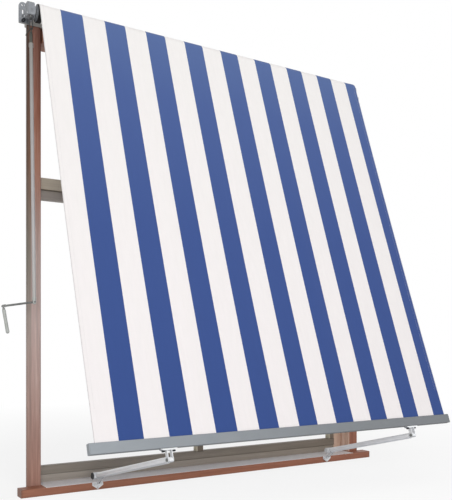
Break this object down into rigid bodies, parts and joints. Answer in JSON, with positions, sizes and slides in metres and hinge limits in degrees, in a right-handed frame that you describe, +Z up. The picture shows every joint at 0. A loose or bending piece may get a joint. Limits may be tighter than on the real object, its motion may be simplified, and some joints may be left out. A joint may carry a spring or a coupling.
{
  "type": "fabric window awning",
  "caption": "Striped fabric awning on a roller with pivot arms, front bar, worm gear and hanging crank, fixed on its timber window frame.",
  "frame": {"origin": "centre of the awning's width, on the sill's underside, in the plane of the stiles' outer faces", "axes": "+Z up, +X along the window to the right seen from outdoors, -Y outdoors"},
  "size_m": [2.1282, 0.8801, 2.165],
  "materials": {
    "stained_timber": "weathered red-brown stain",
    "grey_timber": "weathered grey-brown stain",
    "tan_timber": "sunlit tan stain",
    "grey_paint": "grey paint",
    "cast_aluminium": "cast, dull",
    "bright_aluminium": "bright anodised tube",
    "anodised_bar": "grey anodised extrusion",
    "black_plastic": "black moulded",
    "grey_plastic": "light grey moulded or coated",
    "steel": "zinc-plated, dull",
    "brass": "cut gear",
    "white_canvas": "woven canvas",
    "striped_canvas": "woven canvas in white and blue block stripes"
  },
  "bodies": {
    "window_frame": {"sill": "stained_timber", "left_stile": "stained_timber", "right_stile": "stained_timber", "window_head": "stained_timber", "transom_upper": "tan_timber", "transom_lower": "grey_timber", "bottom_rail_upper": "grey_timber", "bottom_rail_lower": "grey_timber", "centre_mullion_lower": "grey_timber", "centre_mullion_upper": "grey_timber", "right_mullion_lower": "grey_timber", "right_mullion_upper": "grey_timber", "right_jamb_lining": "tan_timber", "head_rail": "grey_paint", "left_rail_cap": "grey_paint", "right_rail_cap": "grey_paint", "gear_bracket": "cast_aluminium", "clamp_washer": "black_plastic", "gear_housing": "cast_aluminium", "gear_cover": "cast_aluminium", "idler_bracket": "cast_aluminium", "left_base_bracket": "cast_aluminium", "right_base_bracket": "cast_aluminium", "left_pivot_pin": "steel", "right_pivot_pin": "steel", "fabric": "striped_canvas"},
    "roller": {"roller_tube": "bright_aluminium", "left_end_plug": "grey_plastic", "right_end_plug": "grey_plastic", "fabric_roll": "white_canvas", "worm_wheel": "brass"},
    "crank": {"worm": "steel", "crank_eye": "steel", "crank_hook": "steel", "crank_rod": "grey_plastic", "crank_clevis": "grey_plastic", "handle_pin": "steel"},
    "handle": {"handle_arm": "steel"},
    "grip_stem": {"grip_spindle": "steel"},
    "grip_sleeve": {"grip": "grey_plastic"},
    "left_arm": {"left_inner_knuckle": "cast_aluminium", "left_arm_tube": "bright_aluminium", "left_outer_knuckle": "cast_aluminium", "left_outer_pin": "steel", "left_pivot_cap": "black_plastic", "left_arm_spring": "steel"},
    "right_arm": {"right_inner_knuckle": "cast_aluminium", "right_arm_tube": "bright_aluminium", "right_outer_knuckle": "cast_aluminium", "right_outer_pin": "steel", "right_pivot_cap": "black_plastic", "right_arm_spring": "steel"},
    "front_bar": {"front_bar": "anodised_bar", "left_bar_cap": "grey_plastic", "right_bar_cap": "grey_plastic", "welt_rod": "white_canvas", "left_bar_bracket": "cast_aluminium", "right_bar_bracket": "cast_aluminium"}
  },
  "joints": [
    {"name": "left_arm_pivot", "type": "hinge", "parent": "window_frame", "child": "left_arm", "pos_m": [-0.64, -0.115, 0.076], "axis": [-1, 0, 0], "range_deg": [0, 55], "stiffness_Nm_per_rad": 1, "springref_deg": -34.38, "deforming": ["fabric"]},
    {"name": "right_arm_pivot", "type": "hinge", "parent": "window_frame", "child": "right_arm", "pos_m": [0.712, -0.115, 0.076], "axis": [-1, 0, 0], "range_deg": [0, 55], "stiffness_Nm_per_rad": 1, "springref_deg": -34.38},
    {"name": "bar_pivot", "type": "hinge", "parent": "left_arm", "child": "front_bar", "pos_m": [-0.611, -0.7651, 0.23809], "axis": [-1, 0, 0], "range_deg": [-65, 0]},
    {"name": "crank_turn", "type": "hinge", "parent": "window_frame", "child": "crank", "pos_m": [-0.9341, -0.09778, 2.09583], "axis": [0, 0.0419, 0.9991], "continuous": true},
    {"name": "roller_turn", "type": "hinge", "parent": "window_frame", "child": "roller", "pos_m": [0, -0.078, 2.095], "axis": [1, 0, 0], "continuous": true},
    {"name": "handle_fold", "type": "hinge", "parent": "crank", "child": "handle", "pos_m": [-0.9341, -0.1503, 0.84293], "axis": [0, -0.9991, 0.0419], "range_deg": [0, 81]},
    {"name": "grip_fold", "type": "hinge", "parent": "handle", "child": "grip_stem", "pos_m": [-1.06349, -0.15115, 0.82245], "axis": [0, 0.9991, -0.0419], "range_deg": [0, 90]},
    {"name": "grip_spin", "type": "hinge", "parent": "grip_stem", "child": "grip_sleeve", "pos_m": [-1.06349, -0.15115, 0.82245], "axis": [-0.1564, 0.0414, 0.9868], "continuous": true}
  ],
  "couplings": [
    {"joint": "right_arm_pivot", "follows": "left_arm_pivot", "ratio": 1},
    {"joint": "bar_pivot", "follows": "left_arm_pivot", "ratio": -1.1709},
    {"joint": "roller_turn", "follows": "crank_turn", "ratio": 0.076923}
  ]
}
